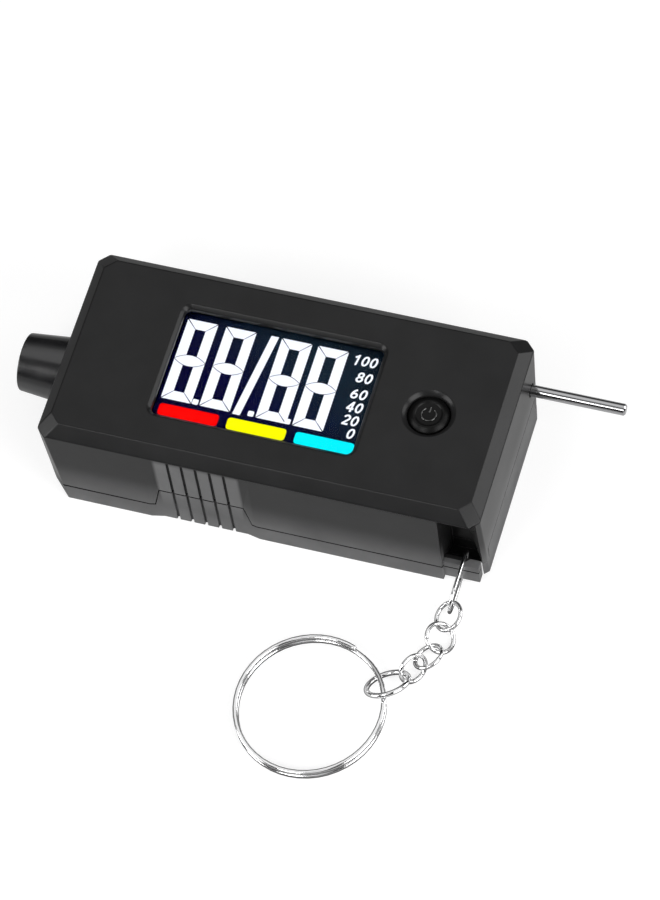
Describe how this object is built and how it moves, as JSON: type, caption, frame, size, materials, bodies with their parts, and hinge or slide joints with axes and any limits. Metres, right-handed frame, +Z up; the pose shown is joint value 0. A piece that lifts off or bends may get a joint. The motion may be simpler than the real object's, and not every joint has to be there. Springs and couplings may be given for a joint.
{
  "type": "tire pressure and tread depth gauge",
  "caption": "Pocket tire gauge: faceted case with a pressure chuck, a sliding tread probe, a lit display, a push button and a key ring on a short chain.",
  "frame": {"origin": "middle of the case's underside, on the surface it lies on", "axes": "+X along the case from the chuck to the probe, +Y to the back face, +Z up through the display"},
  "size_m": [0.0997, 0.0769, 0.0215],
  "materials": {
    "black_plastic": "fine satin moulding texture",
    "button_plastic": "soft gloss",
    "chuck_plastic": "smooth satin",
    "clear_lens": "clear, polished",
    "display_glass": "dark display with lit segments",
    "white_plastic": "satin",
    "circuit_laminate": "solder mask",
    "dark_plastic": "satin",
    "rubber": "matt",
    "brass": "turned",
    "steel": "drawn and polished",
    "chrome": "bright nickel plate"
  },
  "bodies": {
    "housing": {"top_cover": "black_plastic", "bottom_cover": "black_plastic", "display_lens": "clear_lens", "lcd_panel": "display_glass", "backlight": "white_plastic", "zebra_strips": "rubber", "circuit_board": "circuit_laminate", "tact_switch": "dark_plastic", "nozzle": "chuck_plastic", "valve_seal": "rubber", "valve_pin": "brass", "sensor_o_ring": "rubber", "pressure_sensor": "steel", "sensor_board": "circuit_laminate", "probe_guide": "white_plastic", "probe_o_ring": "rubber", "depth_track": "dark_plastic", "battery": "steel", "battery_contact_positive": "steel", "battery_contact_negative": "steel", "battery_pad": "rubber", "battery_door": "black_plastic", "battery_door_screw": "steel", "case_screws": "steel", "board_screws": "steel"},
    "button": {"button_cap": "button_plastic", "switch_plunger": "white_plastic"},
    "probe": {"probe_rod": "steel", "probe_carriage": "white_plastic", "probe_wiper": "brass"},
    "lanyard_ring": {"lanyard_ring": "chrome"},
    "chain_link_1": {"chain_link_1": "chrome"},
    "chain_link_2": {"chain_link_2": "chrome"},
    "chain_link_3": {"chain_link_3": "chrome"},
    "chain_link_4": {"chain_link_4": "chrome"},
    "end_link": {"end_link": "chrome"},
    "split_ring": {"split_ring": "chrome"}
  },
  "joints": [
    {"name": "button_press", "type": "slide", "parent": "housing", "child": "button", "axis": [0, 0, -1], "range_m": [0, 0.0005], "stiffness_N_per_m": 2000},
    {"name": "probe_slide", "type": "slide", "parent": "housing", "child": "probe", "axis": [1, 0, 0], "range_m": [-0.0155, 0]},
    {"name": "lanyard_swing", "type": "hinge", "parent": "housing", "child": "lanyard_ring", "pos_m": [0.03365, -0.0169, 0.00325], "axis": [1, 0, 0], "range_deg": [-5, 90]},
    {"name": "link_1_swing", "type": "hinge", "parent": "lanyard_ring", "child": "chain_link_1", "pos_m": [0.03365, -0.02489, 0.00266], "axis": [0, -0.2079, 0.9781], "range_deg": [-12, 12]},
    {"name": "link_2_swing", "type": "hinge", "parent": "chain_link_1", "child": "chain_link_2", "pos_m": [0.03353, -0.02799, 0.002], "axis": [0.8594, -0.1491, 0.4891], "range_deg": [-12, 12]},
    {"name": "link_3_swing", "type": "hinge", "parent": "chain_link_2", "child": "chain_link_3", "pos_m": [0.03284, -0.03175, 0.00172], "axis": [0.8259, -0.1456, -0.5446], "range_deg": [-12, 12]},
    {"name": "link_4_swing", "type": "hinge", "parent": "chain_link_3", "child": "chain_link_4", "pos_m": [0.03147, -0.03539, 0.00169], "axis": [0.7943, -0.297, 0.5299], "range_deg": [-12, 12]},
    {"name": "end_link_swing", "type": "hinge", "parent": "chain_link_4", "child": "end_link", "pos_m": [0.02936, -0.03824, 0.00265], "axis": [0.3087, -0.2122, -0.9272], "range_deg": [-12, 12]},
    {"name": "split_ring_swing", "type": "hinge", "parent": "end_link", "child": "split_ring", "pos_m": [0.02668, -0.04032, 0.00264], "axis": [0.5, -0.866, 0], "range_deg": [-20, 15]}
  ]
}
